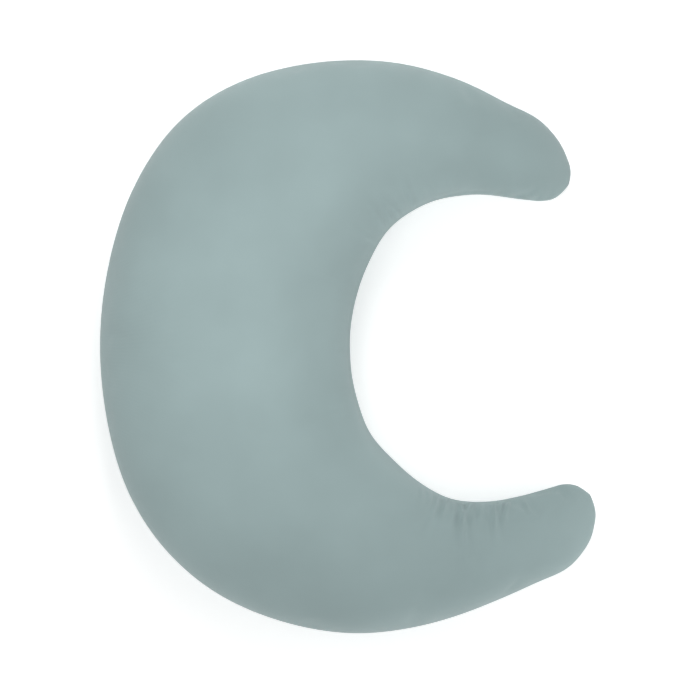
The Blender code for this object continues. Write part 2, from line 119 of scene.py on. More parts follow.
def measure_form():
    """The pillow's form as functions of t: see the dictionary that it returns."""
    cover = node_tree("cover_top_panel", "cover_bottom_panel")
    top = node_tree("cover_top_panel")
    centre = Vector((AXIS[0], AXIS[1], 0.0))
    up = Vector((0, 0, 1))
    plan = [v.co - centre for v in frame["nodes"]["cover_top_panel"].data.vertices]
    angles = [math.atan2(p.y, -p.x) for p in plan]
    middle = (max(angles) + min(angles)) / 2
    half = (max(angles) - min(angles)) / 2
    rows = []
    for t in np.linspace(MEASURED_FROM, math.pi - MEASURED_FROM, SECTIONS):
        along = direction(middle + half * math.cos(t))
        edges = edge_radii(cover, centre, along)
        if not edges:
            continue
        near, far = edges
        flange = top.ray_cast(centre + along * (near + FLANGE_INSET) - up, up)[0]
        if not flange:
            continue
        crests = []
        for share in CREST_SHARES:
            above = centre + along * (near + (far - near) * share) + up
            crests.append(top.ray_cast(above, -up)[0].z)
        rows.append((t, near, far, flange.z - CAD_HALF_GAP, max(crests)))
    t, near, far, seam, crest = np.array(rows).T
    ends = np.sin(t)
    radius = fit_cosines(t, (near + far) / 2, terms=34)
    half_width = fit_cosines(t, (far - near) / 2 / ends, terms=36, weights=ends)

    def tip(at, place):
        return np.exp(-((at - place) / TIP_REACH) ** 2)

    return {
        "half_angle": half,
        "angle": lambda at: middle + half * np.cos(at),
        # middle line's distance from the axis
        "radius": lambda at: radius(at) + UPPER_TIP_SHIFT * tip(at, 0.0),
        # half width of a section, and crest height over the seam, both over sin(t)
        "half_width": lambda at: half_width(at) * (
            1 + TIP_BLUNTNESS * (tip(at, 0.0) + tip(at, math.pi))),
        "rise": fit_cosines(t, (crest - seam) / ends, terms=14, weights=ends),
        # height of the seam over the floor
        "seam": fit_cosines(t, seam, terms=10),
    }


# ---------------------------------------------------------------- surfaces on a grid

WEAVE = "Weave"              # the UV map that the cloth materials read
COLUMNS = 420
ROWS = 84
ROW_CROWDING = 0.18          # how much closer the rows lie towards the two seams
LENGTH_SAMPLES = 4000        # steps of t that the columns' places are worked out with
TIP_SPREAD = 0.10            # metres of grid length given to each radian of t, for the round tips
LIP_RADIUS = 0.0016
LIP_ROWS = 5
TURN_IN = 0.0058
TURN_ROWS = 3
EDGE_ROWS = TURN_ROWS + LIP_ROWS
MAIN = slice(EDGE_ROWS, EDGE_ROWS + ROWS)
FULL_LIP_FROM = 0.030        # half width of the narrowest section with a full-size lip
LEAST_LIP = 0.02
LEAST_SIZE = 1e-4            # half width and rise that a section keeps at the tip
SEAM_HALF_GAP = 0.0002
SLOT_HALF_HEIGHT = 0.0042
SLOT_HALF_ANGLE = math.radians(23.0)
SLOT_END_ANGLE = math.radians(1.4)
INNER_TIP_GAP = 0.006        # the case and filling end short of the cover by this and their inset
INNER_TIP_ROUNDING = 0.03
UNDERSIDE_ROUNDING = 0.050   # length over which a tip's underside comes down to the floor
UNDERSIDE_STEEPNESS = 1.22
UNDERSIDE_BLEND = 0.1        # softness of the bend into the flat underside
MERGE_DISTANCE = 1e-5


def smoothstep(low, high, value):
    """0 up to low, 1 from high on, and a smooth rise between them."""
    share = np.clip((value - low) / (high - low), 0.0, 1.0)
    return share * share * (3 - 2 * share)


def column_places(form, columns):
    """t of each column: evenly spaced along the band, and finer where the tips turn."""
    t = np.linspace(0.0, math.pi, LENGTH_SAMPLES)
    angle, radius = form["angle"](t), form["radius"](t)
    x, y = -radius * np.cos(angle), radius * np.sin(angle)
    length = np.hypot(np.gradient(x), np.gradient(y)) + TIP_SPREAD * np.gradient(t)
    total = np.concatenate([[0.0], np.cumsum(length)[:-1]])
    return np.interp(np.linspace(0.0, total[-1], columns), total, t)


def row_places(rows):
    """Angle of each row from the outer seam (0) over the crest to the inner seam (pi)."""
    share = np.linspace(0.0, 1.0, rows)
    return math.pi * share - ROW_CROWDING * np.sin(2 * math.pi * share)


def flattened(share):
    """Depth of the underside below the seam against the section's sine: flat where it rests."""
    steep = UNDERSIDE_STEEPNESS * share
    start = 1 - UNDERSIDE_BLEND
    bend = steep - (steep - start) ** 2 / (4 * UNDERSIDE_BLEND)
    return np.where(steep < start, steep, np.where(steep < 1 + UNDERSIDE_BLEND, bend, 1.0))


def edge_profile(half_width, gap, lip, turn_in, end):
    """Rows of one edge, from its turned-in rim round the lip. end is 1 outside, -1 inside."""
    across, height = [], []
    for k in range(TURN_ROWS, 0, -1):
        turn = lip + (turn_in - lip) * k / TURN_ROWS
        across.append(end * (half_width - turn))
        height.append(gap)
    for k in range(LIP_ROWS):
        bend = math.pi / 2 * k / LIP_ROWS
        across.append(end * (half_width - lip + lip * math.sin(bend)))
        height.append(gap + lip - lip * math.cos(bend))
    return across, height


def half_surface(form, side, t, rows, inset=0.0, height_inset=0.0, slotted=False):
    """Grid of points of one half, a column for each t; side is 1 for the top, -1 for the bottom.

    The rows run from the turned-in outer edge, over the outside, to the turned-in inner edge.
    """
    round_end = np.ones_like(t)
    nearness = 1 - np.abs(np.cos(t))
    if inset > 0:
        short = 1 - (inset + INNER_TIP_GAP) / (form["radius"](t) * form["half_angle"])
        round_end = np.sqrt(np.clip(nearness / INNER_TIP_ROUNDING, 0.0, 1.0))
        round_end = np.sin(round_end * math.pi / 2)
        t = np.arccos(np.cos(t) * short)
    angle, radius, seam = form["angle"](t), form["radius"](t), form["seam"](t)
    half_width = np.maximum(form["half_width"](t) * np.sin(t) - inset, LEAST_SIZE) * round_end
    rise = np.maximum(form["rise"](t) * np.sin(t) - height_inset, LEAST_SIZE) * round_end
    size = np.clip(half_width / FULL_LIP_FROM, LEAST_LIP, 1.0)
    lip = LIP_RADIUS * size
    inner_gap = outer_gap = SEAM_HALF_GAP * size
    if slotted:
        open_share = smoothstep(0.0, SLOT_END_ANGLE, SLOT_HALF_ANGLE - np.abs(angle))
        outer_gap = inner_gap + (SLOT_HALF_HEIGHT - SEAM_HALF_GAP) * open_share
    from_tip = radius * form["half_angle"] * nearness
    lifted = 1 - np.clip(from_tip / UNDERSIDE_ROUNDING, 0.0, 1.0)
    bottom = (seam - height_inset) * round_end * np.sqrt(1 - lifted ** 2)
    across, height = edge_profile(half_width, outer_gap, lip, TURN_IN * size, 1)
    for place in row_places(rows):
        blend = place / math.pi
        start = (outer_gap * (1 - blend) + inner_gap * blend) + lip
        reach = (rise if side > 0 else bottom) - start
        share = math.sin(place) if side > 0 else flattened(math.sin(place))
        across.append(half_width * math.cos(place))
        height.append(start + np.maximum(reach, 0.0) * share)
    inner_across, inner_height = edge_profile(half_width, inner_gap, lip, TURN_IN * size, -1)
    across = np.array(across + inner_across[::-1]).T
    height = np.array(height + inner_height[::-1]).T
    reach = radius[:, None] + across
    return np.stack([
        AXIS[0] - reach * np.cos(angle)[:, None],
        AXIS[1] + reach * np.sin(angle)[:, None],
        seam[:, None] + side * height,
    ], axis=2)


def normals_of(points, side):
    """Outward normals of a grid. side is 1 for a top half."""
    along = np.gradient(points, axis=0)
    across = np.gradient(points, axis=1)
    normal = np.cross(across, along) * side
    length = np.linalg.norm(normal, axis=2, keepdims=True)
    return normal / np.maximum(length, 1e-12)


def linked_object(name, mesh):
    """A smooth-shaded object of the mesh, linked to the scene."""
    mesh.shade_smooth()
    obj = bpy.data.objects.new(name, mesh)
    bpy.context.scene.collection.objects.link(obj)
    return obj


def grid_object(name, points, side, uv=None):
    """A mesh object from a grid of points, with the collapsed faces at the tips merged."""
    columns, rows = points.shape[:2]
    index = np.arange(columns * rows).reshape(columns, rows)
    quads = np.stack([index[:-1, :-1], index[1:, :-1], index[1:, 1:], index[:-1, 1:]], axis=2)
    quads = quads.reshape(-1, 4)
    if side < 0:
        quads = quads[:, ::-1]
    mesh = bpy.data.meshes.new(name)
    mesh.from_pydata(points.reshape(-1, 3).tolist(), [], quads.tolist())
    if uv is not None:
        layer = mesh.uv_layers.new(name=WEAVE)
        flat = uv.reshape(-1, 2)[quads.reshape(-1)]
        layer.data.foreach_set("uv", flat.astype(np.float32).reshape(-1))
    work = bmesh.new()
    work.from_mesh(mesh)
    bmesh.ops.remove_doubles(work, verts=work.verts[:], dist=MERGE_DISTANCE)
    bmesh.ops.dissolve_degenerate(work, edges=work.edges[:], dist=MERGE_DISTANCE / 10)
    work.to_mesh(mesh)
    work.free()
    return linked_object(name, mesh)


def apply_modifiers(obj):
    """Replaces the object's mesh by its evaluated one, so that no modifier is left."""
    graph = bpy.context.evaluated_depsgraph_get()
    mesh = bpy.data.meshes.new_from_object(obj.evaluated_get(graph))
    obj.modifiers.clear()
    obj.data = mesh


def thicken(obj, thickness):
    """Gives a sheet its thickness, inwards."""
    shell = obj.modifiers.new("Solidify", "SOLIDIFY")
    shell.thickness = thickness
    shell.offset = -1.0
    apply_modifiers(obj)


def grid_lengths(points):
    """Length along each row from the middle column, and along each column from its start."""
    steps = np.linalg.norm(np.diff(points, axis=0), axis=2)
    along = np.concatenate([np.zeros((1, points.shape[1])), np.cumsum(steps, axis=0)])
    along -= along[points.shape[0] // 2]
    steps = np.linalg.norm(np.diff(points, axis=1), axis=2)
    across = np.concatenate([np.zeros((points.shape[0], 1)), np.cumsum(steps, axis=1)], axis=1)
    return along, across


def fabric_uv(points):
    """UV in metres: along the band's middle row, and across it."""
    along, across = grid_lengths(points)
    middle = along[:, points.shape[1] // 2]
    return np.stack([np.repeat(middle[:, None], points.shape[1], axis=1), across], axis=2)


def upsample(values, shape):
    """Bilinear growth of a coarse grid to a finer one."""
    rows = np.linspace(0, values.shape[0] - 1, shape[0])
    columns = np.linspace(0, values.shape[1] - 1, shape[1])
    tall = np.array([np.interp(rows, np.arange(values.shape[0]), c) for c in values.T]).T
    return np.array([np.interp(columns, np.arange(values.shape[1]), r) for r in tall])


def blurred(values, passes):
    """The grid smoothed with its neighbours, its border left as it is."""
    for _ in range(passes):
        inside = values[1:-1, 1:-1]
        sides = values[:-2, 1:-1] + values[2:, 1:-1] + values[1:-1, :-2] + values[1:-1, 2:]
        values = values.copy()
        values[1:-1, 1:-1] = inside / 2 + sides / 8
    return values


# ---------------------------------------------------------------- creases and folds

CREASE_SEED = 7
CREASE_WIDTH = 0.0018        # half width of a crease's valley at the seam
CREASE_WIDENING = 0.012      # and how much wider it gets with its depth
CREASE_FADE_IN = (0.004, 0.030)
RIDGE_HEIGHT = 0.5           # a crease's two ridges, against its valley
RIDGE_OFFSET = 2.2
RIDGE_WIDTH = 1.2
LENGTH_VARIES = (0.65, 1.25)     # shares of a set's own length, height and spacing
HEIGHT_VARIES = (0.6, 1.3)
SPACING_VARIES = (0.75, 1.3)
END_LENGTH = 0.6             # creases get shorter and lower towards the ends of their set
END_HEIGHT = 0.25
SWELL_SOFTNESS = 0.7
# Places are lengths along the seam from its middle, or the x that the seam passes on an arm.
LOWER_ARM_X = (0.082, 0.200)
LOWER_ARM_CREASES = {"spacing": 0.0120, "length": 0.098, "height": 0.0026, "lean": 0.22}
UPPER_ARM_X = (0.005, 0.120)
UPPER_ARM_CREASES = {"spacing": 0.0160, "length": 0.085, "height": 0.0010, "lean": 0.20}
WAIST_PLACES = (-0.10, 0.10)
WAIST_CREASES = {"spacing": 0.024, "length": 0.060, "height": 0.0004, "lean": 0.15}
OUTER_SEAM_SHARE = 0.92      # share of the outer seam that has creases
OUTER_CREASES = {"spacing": 0.026, "length": 0.020, "height": 0.0005, "lean": 0.15}
ARM_FROM_Y = 0.10            # the arms' inner seams lie beyond this
LUMPS = ((0.085, 0.0016, 1), (0.045, 0.0006, 2))    # scale, height and seed of the stuffing's
LUMP_STEP = 6                # lumps are worked out at each sixth row and column
FOLD_X = 0.158               # the soft fold across the upper arm
FOLD_Y = 0.235
FOLD_LEAN = 0.25
FOLD_WIDTH = 0.022
FOLD_HEIGHT = 0.0022
FOLD_HOLLOW = 0.7            # depth of the hollow beside the fold, against its height
FOLD_FROM_Y = (0.14, 0.20)
FOLD_FROM_SEAM = (0.01, 0.09)
RELIEF_FROM_SEAM = 0.010     # near a seam or a tip, all of this fades
RELIEF_FROM_TIP = (0.004, 0.035)
RELIEF_FROM_FLOOR = (0.0, 0.02)


def crease_field(along, depth, creases):
    """Height of a set of creases. Each is (place, length, lean, height), in metres.

    along runs along the seam and depth away from it. A crease is a narrow valley between
    two soft ridges, and it fades with its distance from the seam.
    """
    field = np.zeros_like(along)
    width = CREASE_WIDTH + CREASE_WIDENING * depth
    for place, length, lean, height in creases:
        offset = along - place - lean * depth
        valley = -np.exp(-(offset / width) ** 2)
        from_ridge = (np.abs(offset) - RIDGE_OFFSET * width) / (RIDGE_WIDTH * width)
        ridge = RIDGE_HEIGHT * np.exp(-from_ridge ** 2)
        fade = (1 - smoothstep(0.5 * length, length, depth)) * smoothstep(*CREASE_FADE_IN, depth)
        field += height * (valley + ridge) * fade
    return field


def seam_creases(rng, start, end, spacing, length, height, lean):
    """Creases at uneven steps between two places along the seam."""
    creases = []
    place = start
    while place < end:
        share = (place - start) / (end - start)
        swell = math.sin(math.pi * share) ** SWELL_SOFTNESS
        creases.append((
            place,
            length * rng.uniform(*LENGTH_VARIES) * (END_LENGTH + (1 - END_LENGTH) * swell),
            lean * rng.uniform(-1.0, 1.0),
            height * rng.uniform(*HEIGHT_VARIES) * (END_HEIGHT + (1 - END_HEIGHT) * swell),
        ))
        place += spacing * rng.uniform(*SPACING_VARIES)
    return creases


def inner_seam_places(points, places_x, way):
    """Lengths along the inner seam where it passes each x on one arm. way is 1 on the upper."""
    row = points[:, -EDGE_ROWS - 1]
    steps = np.linalg.norm(np.diff(row, axis=0), axis=1)
    length = np.concatenate([[0.0], np.cumsum(steps)])
    length -= length[len(row) // 2]
    arm = np.where(row[:, 1] * way > ARM_FROM_Y)[0]
    return sorted(length[arm[np.argmin(np.abs(row[arm, 0] - x))]] for x in places_x)


def soft_lumps(points, scale, height, seed):
    """Broad, smooth unevenness of the stuffing."""
    shift = Vector((seed * 3.7, seed * 1.3, seed * 2.1))
    values = [noise.noise(Vector(p) / scale + shift) for p in points.reshape(-1, 3)]
    return height * np.array(values).reshape(points.shape[:2])


def arm_fold(plan, from_seam):
    """Height of the soft fold across the upper arm, and of the hollow beside it."""
    x, y = plan[:, :, 0], plan[:, :, 1]
    crossing = (x - FOLD_X - FOLD_LEAN * (y - FOLD_Y)) / FOLD_WIDTH
    place = smoothstep(*FOLD_FROM_Y, y) * smoothstep(*FOLD_FROM_SEAM, from_seam)
    shape = np.exp(-crossing ** 2) - FOLD_HOLLOW * np.exp(-(crossing - 2) ** 2)
    return FOLD_HEIGHT * place * shape


def sculpt(points, side):
    """Adds the puckers at the seams, the fold on the arm and the stuffing's unevenness."""
    rng = np.random.default_rng(CREASE_SEED)
    main = points[:, MAIN]
    along, across = grid_lengths(main)
    inner_along = np.repeat(along[:, -1:], main.shape[1], axis=1)
    outer_along = np.repeat(along[:, :1], main.shape[1], axis=1)
    inner_depth = across[:, -1:] - across
    inner = seam_creases(rng, *inner_seam_places(points, LOWER_ARM_X, -1), **LOWER_ARM_CREASES)
    inner += seam_creases(rng, *inner_seam_places(points, UPPER_ARM_X, 1), **UPPER_ARM_CREASES)
    inner += seam_creases(rng, *WAIST_PLACES, **WAIST_CREASES)
    reach = outer_along[-1, 0] * OUTER_SEAM_SHARE
    outer = seam_creases(rng, -reach, reach, **OUTER_CREASES)
    field = crease_field(inner_along, inner_depth, inner)
    field += crease_field(outer_along, across, outer)
    coarse = points[::LUMP_STEP, MAIN][:, ::LUMP_STEP]
    lumps = sum(soft_lumps(coarse, *lump) for lump in LUMPS)
    field += blurred(upsample(lumps, main.shape[:2]), passes=6)
    if side > 0:
        field += arm_fold(main[:, :, :2], across)
    from_tip = np.minimum(np.abs(inner_along - inner_along[0, 0]),
                          np.abs(inner_along - inner_along[-1, 0]))
    field *= np.clip(np.minimum(inner_depth, across) / RELIEF_FROM_SEAM, 0.0, 1.0)
    field *= smoothstep(*RELIEF_FROM_TIP, from_tip)
    if side < 0:
        field *= smoothstep(*RELIEF_FROM_FLOOR, main[:, :, 2])
    moved = points.copy()
    moved[:, MAIN] += normals_of(main, side) * field[:, :, None]
    return moved


# ---------------------------------------------------------------- stuffing, by cloth simulation

SKIN_COLUMNS = 240
SKIN_ROWS = 40
SKIN_FRAMES = 20
SKIN_SLACK = 0.012           # how much larger the loose skin is than the form
SKIN_PRESSURE = 4.0
MOST_SHIFT = 0.006
SHIFT_FROM_OUTER_SEAM = 0.050    # lengths over which the shift grows from nothing
SHIFT_FROM_INNER_SEAM = 0.014
SHIFT_FROM_TIP = (0.004, 0.045)


def skin_object(grid):
    """A closed skin from a grid whose rows run right round the section, with a pole at each end."""
    columns, rows = grid.shape[:2]
    points = [p for column in grid[1:-1] for p in column.tolist()]
    poles = [grid[0].mean(axis=0).tolist(), grid[-1].mean(axis=0).tolist()]
    rings = columns - 2
    faces = []
    for c in range(rings - 1):
        for r in range(rows):
            after = (r + 1) % rows
            faces.append((c * rows + r, c * rows + after, (c + 1) * rows + after,
                          (c + 1) * rows + r))
    first, last = rings * rows, rings * rows + 1
    for r in range(rows):
        after = (r + 1) % rows
        faces.append((first, after, r))
        faces.append((last, (rings - 1) * rows + r, (rings - 1) * rows + after))
    mesh = bpy.data.meshes.new("skin")
    mesh.from_pydata(points + poles, [], faces)
    work = bmesh.new()
    work.from_mesh(mesh)
    bmesh.ops.recalc_face_normals(work, faces=work.faces[:])
    work.to_mesh(mesh)
    work.free()
    obj = linked_object("skin", mesh)
    held = obj.vertex_groups.new(name="held")
    held.add([c * rows + r for c in range(rings) for r in (0, SKIN_ROWS - 1)], 1.0, "REPLACE")
    held.add([first, last], 1.0, "REPLACE")
    return obj


def inflate(obj):
    """Blows the skin up with its held points fixed, and returns where its points end."""
    cloth = obj.modifiers.new("Cloth", "CLOTH")
    cloth.settings.quality = 6
    cloth.settings.mass = 0.15
    cloth.settings.tension_stiffness = 20.0
    cloth.settings.compression_stiffness = 20.0
    cloth.settings.shear_stiffness = 5.0
    cloth.settings.bending_stiffness = 0.3
    cloth.settings.use_pressure = True
    cloth.settings.uniform_pressure_force = SKIN_PRESSURE
    cloth.settings.effector_weights.gravity = 0.0
    cloth.settings.shrink_min = -SKIN_SLACK
    cloth.settings.vertex_group_mass = "held"
    cloth.collision_settings.use_collision = False
    cloth.point_cache.frame_start = 1
    cloth.point_cache.frame_end = SKIN_FRAMES
    scene = bpy.context.scene
    for frame_number in range(1, SKIN_FRAMES + 1):
        scene.frame_set(frame_number)
    apply_modifiers(obj)
    found = np.empty(len(obj.data.vertices) * 3)
    obj.data.vertices.foreach_get("co", found)
    scene.frame_set(1)
    return found.reshape(-1, 3)


def stuffed_shifts(form):
    """How the cover moves when its slack skin is blown up by the stuffing, its seam held.

    Returns one grid of shifts for each half. The simulation starts from the smooth form.
    """
    t = column_places(form, SKIN_COLUMNS)
    halves = {side: half_surface(form, side, t, SKIN_ROWS)[:, EDGE_ROWS:-EDGE_ROWS]
              for side in (1, -1)}
    seam = (halves[1][:, [0, -1]] + halves[-1][:, [0, -1]]) / 2
    for half in halves.values():
        half[:, [0, -1]] = seam
    grid = np.concatenate([halves[1], halves[-1][:, -2:0:-1]], axis=1)
    obj = skin_object(grid)
    found = inflate(obj)[:-2].reshape(SKIN_COLUMNS - 2, grid.shape[1], 3)
    bpy.data.objects.remove(obj, do_unlink=True)
    shift = np.zeros_like(grid)
    shift[1:-1] = found - grid[1:-1]
    length = np.linalg.norm(shift, axis=2, keepdims=True)
    shift *= MOST_SHIFT * np.tanh(length / MOST_SHIFT) / np.maximum(length, 1e-9)
    lower = np.concatenate([shift[:, :1], shift[:, :SKIN_ROWS - 2:-1]], axis=1)
    return {1: shift[:, :SKIN_ROWS], -1: lower}


def add_shift(points, shift):
    """Moves the outside of a fine grid by a coarse grid of shifts."""
    main = points[:, MAIN]
    along, across = grid_lengths(main)
    middle = along[:, main.shape[1] // 2][:, None]
    from_tip = np.minimum(middle - middle[0], middle[-1] - middle)
    weight = smoothstep(0.0, SHIFT_FROM_OUTER_SEAM, across)
    weight = weight * smoothstep(0.0, SHIFT_FROM_INNER_SEAM, across[:, -1:] - across)
    weight = weight * smoothstep(*SHIFT_FROM_TIP, from_tip)
    moved = points.copy()
    for axis in range(3):
        field = blurred(upsample(shift[:, :, axis], main.shape[:2]), passes=4)
        moved[:, MAIN, axis] += field * weight
    return moved


# ---------------------------------------------------------------- materials

MIX_COLOUR_A, MIX_COLOUR_B, MIX_COLOUR_OUT = 6, 7, 2    # sockets of a Mix node set to colour
WAVE_SCALE = 0.314159        # scale of the Wave texture that gives bands of 1 m
FUZZ_SCALE = 1400.0          # scales of noise, over 1 m
TINT_SCALE = 9.0
SCRATCH_SCALE = 900.0
FUZZ_HEIGHT = 0.5            # against the height of the weave
TINT_NOISE = (0.3, 0.7)      # the range of noise that the colour's variation is spread over
WEAVE_PAINTED_SHADE_AND_HIGHLIGHT = (0.93, 1.04)   # painted shade in the weave's hollows and painted highlight on its tops, as factors on the colour
CLOTH_BUMP = 0.6
CLOTH_ROUGHNESS_SPREAD = 0.05
CLOTH_SPECULAR = 0.25
SHEEN_ROUGHNESS = 0.45
GRAIN_BUMP = 0.5
GRAIN_ROUGHNESS_SPREAD = 0.08
METAL_COLOUR = (0.62, 0.61, 0.59)
METAL_ROUGHNESS = 0.30       # before the scratches
SCRATCHED_ROUGHNESS = (0.20, 0.42)
SCRATCH_BUMP = 0.2
SCRATCH_DEPTH = 0.00002


def new_material(name, colour, roughness, metallic=0.0):
    """A material, its node tree and its main shader."""
    material = bpy.data.materials.new(name)
    material.use_nodes = True
    shader = material.node_tree.nodes["Principled BSDF"]
    shader.inputs["Base Color"].default_value = (*colour, 1.0)
    shader.inputs["Roughness"].default_value = roughness
    shader.inputs["Metallic"].default_value = metallic
    return material, material.node_tree, shader


def add_node(tree, kind, inputs=None, **settings):
    """A node with some of its inputs and settings given."""
    node = tree.nodes.new(kind)
    for key, value in settings.items():
        setattr(node, key, value)
    for key, value in (inputs or {}).items():
        node.inputs[key].default_value = value
    return node


def object_noise(tree, scale, detail):
    """Noise in the object's own metres."""
    where = add_node(tree, "ShaderNodeTexCoord")
    node = add_node(tree, "ShaderNodeTexNoise", {"Scale": scale, "Detail": detail})
    tree.links.new(where.outputs["Object"], node.inputs["Vector"])
    return node.outputs["Fac"]


def wave(tree, vector, period, direction_name):
    """Bands of one sine period, in the vector's own units."""
    node = add_node(tree, "ShaderNodeTexWave", {"Scale": WAVE_SCALE / period},
                    wave_type="BANDS", bands_direction=direction_name)
    tree.links.new(vector, node.inputs["Vector"])
    return node.outputs["Fac"]


def map_range(tree, value, to_min, to_max, from_min=0.0, from_max=1.0):
    node = add_node(tree, "ShaderNodeMapRange", {
        "From Min": from_min, "From Max": from_max, "To Min": to_min, "To Max": to_max})
    tree.links.new(value, node.inputs["Value"])
    return node.outputs["Result"]


def math_node(tree, operation, first, second):
    """The result of a sum on two values, each a number or a node's output."""
    node = add_node(tree, "ShaderNodeMath", operation=operation)
    for socket, value in zip(node.inputs, (first, second)):
        if isinstance(value, (int, float)):
            socket.default_value = value
        else:
            tree.links.new(value, socket)
    return node.outputs[0]


def add_bump(tree, shader, height, strength, distance):
    bump = add_node(tree, "ShaderNodeBump", {"Strength": strength, "Distance": distance})
    tree.links.new(height, bump.inputs["Height"])
    tree.links.new(bump.outputs["Normal"], shader.inputs["Normal"])


def fabric_material(name, colour, wale, course, depth, sheen, roughness, variation=0.05):
    """Knitted or woven cloth: a fine two-way relief, soft colour variation, painted shade in the
    weave's hollows, a painted highlight on its tops and a sheen.
    """
    material, tree, shader = new_material(name, colour, roughness)
    vector = add_node(tree, "ShaderNodeUVMap", uv_map=WEAVE).outputs["UV"]
    relief = math_node(tree, "MULTIPLY",
                       wave(tree, vector, wale, "X"), wave(tree, vector, course, "Y"))
    fuzz = object_noise(tree, FUZZ_SCALE, 2.0)
    height = math_node(tree, "ADD", relief, math_node(tree, "MULTIPLY", fuzz, FUZZ_HEIGHT))
    add_bump(tree, shader, height, CLOTH_BUMP, depth)
    tint = map_range(tree, object_noise(tree, TINT_SCALE, 3.0),
                     1.0 - variation, 1.0 + variation, *TINT_NOISE)
    # painted shade and highlight: the colour is darker in the weave's hollows and lighter on its
    # tops, following the relief
    painted_weave_shade = map_range(tree, relief, *WEAVE_PAINTED_SHADE_AND_HIGHLIGHT)
    shade = add_node(tree, "ShaderNodeMix", {"Factor": 1.0}, data_type="RGBA",
                     blend_type="MULTIPLY")
    shade.inputs[MIX_COLOUR_A].default_value = (*colour, 1.0)
    tree.links.new(math_node(tree, "MULTIPLY", tint, painted_weave_shade), shade.inputs[MIX_COLOUR_B])
    tree.links.new(shade.outputs[MIX_COLOUR_OUT], shader.inputs["Base Color"])
    rough = map_range(tree, fuzz, roughness - CLOTH_ROUGHNESS_SPREAD,
                      min(1.0, roughness + CLOTH_ROUGHNESS_SPREAD))
    tree.links.new(rough, shader.inputs["Roughness"])
    shader.inputs["Sheen Weight"].default_value = sheen
    shader.inputs["Sheen Roughness"].default_value = SHEEN_ROUGHNESS
    shader.inputs["Specular IOR Level"].default_value = CLOTH_SPECULAR
    return material


def plain_material(name, colour, roughness, grain_scale, depth):
    """Thread or moulded nylon: one colour with a fine uneven grain."""
    material, tree, shader = new_material(name, colour, roughness)
    grain = object_noise(tree, grain_scale, 2.0)
    add_bump(tree, shader, grain, GRAIN_BUMP, depth)
    rough = map_range(tree, grain, roughness - GRAIN_ROUGHNESS_SPREAD,
                      roughness + GRAIN_ROUGHNESS_SPREAD)
    tree.links.new(rough, shader.inputs["Roughness"])
    return material


def metal_material(name):
    """Satin nickel with fine scratches."""
    material, tree, shader = new_material(name, METAL_COLOUR, METAL_ROUGHNESS, metallic=1.0)
    scratch = object_noise(tree, SCRATCH_SCALE, 4.0)
    rough = map_range(tree, scratch, *SCRATCHED_ROUGHNESS)
    tree.links.new(rough, shader.inputs["Roughness"])
    add_bump(tree, shader, scratch, SCRATCH_BUMP, SCRATCH_DEPTH)
    return material


def set_material(obj, material):
    obj.data.materials.clear()
    obj.data.materials.append(material)


# ---------------------------------------------------------------- pieces

COVER_COLOUR = (0.304, 0.397, 0.399)
COVER_THICKNESS = 0.0011
CASE_INSET = 0.0125
CASE_HEIGHT_INSET = 0.0034
CASE_THICKNESS = 0.0006
FILLING_INSET = 0.0150
FILLING_HEIGHT_INSET = 0.0048
INNER_COLUMNS = 200          # grid of the case and the filling
INNER_ROWS = 40


def make_cover(form, material):
    """The cover's two panels. Returns their grids of points."""
    t = column_places(form, COLUMNS)
    shifts = stuffed_shifts(form)
    pieces = {}
    for side, label in HALVES:
        points = half_surface(form, side, t, ROWS, slotted=True)
        if shifts:
            points = add_shift(points, shifts[side])
        points = sculpt(points, side)
        points[:, :, 2] = np.maximum(points[:, :, 2], 0.0)
        obj = grid_object(f"visual_cover_{label}", points, side, fabric_uv(points))
        thicken(obj, COVER_THICKNESS)
        set_material(obj, material)
        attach(obj, "pillow")
        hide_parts(f"cover_{label}_panel")
        pieces[label] = points
    return pieces


def make_case(form, t, material):
    """The two panels of the inner case."""
    for side, label in HALVES:
        points = half_surface(form, side, t, INNER_ROWS, CASE_INSET, CASE_HEIGHT_INSET)
        obj = grid_object(f"visual_case_{label}", points, side, fabric_uv(points))
        thicken(obj, CASE_THICKNESS)
        set_material(obj, material)
        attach(obj, "pillow")
        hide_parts(f"inner_case_{label}_panel")


def make_filling(form, t, material):
    """The fibre: both halves of the inset form, joined along the seam."""
    halves = []
    for side, _ in HALVES:
        points = half_surface(form, side, t, INNER_ROWS, FILLING_INSET, FILLING_HEIGHT_INSET)
        halves.append((points[:, EDGE_ROWS:-EDGE_ROWS], side))
    seam = (halves[0][0][:, [0, -1]] + halves[1][0][:, [0, -1]]) / 2
    for points, side in halves:
        points[:, [0, -1]] = seam
    parts = [grid_object(f"fill_{side}", points, side) for points, side in halves]
    work = bmesh.new()
    for part in parts:
        work.from_mesh(part.data)
    bmesh.ops.remove_doubles(work, verts=work.verts[:], dist=MERGE_DISTANCE)
    mesh = bpy.data.meshes.new("visual_filling")
    work.to_mesh(mesh)
    work.free()
    for part in parts:
        bpy.data.objects.remove(part, do_unlink=True)
    obj = linked_object("visual_filling", mesh)
    set_material(obj, material)
    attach(obj, "pillow")
    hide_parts("fibre_filling")


# ---------------------------------------------------------------- zip, label and stitches

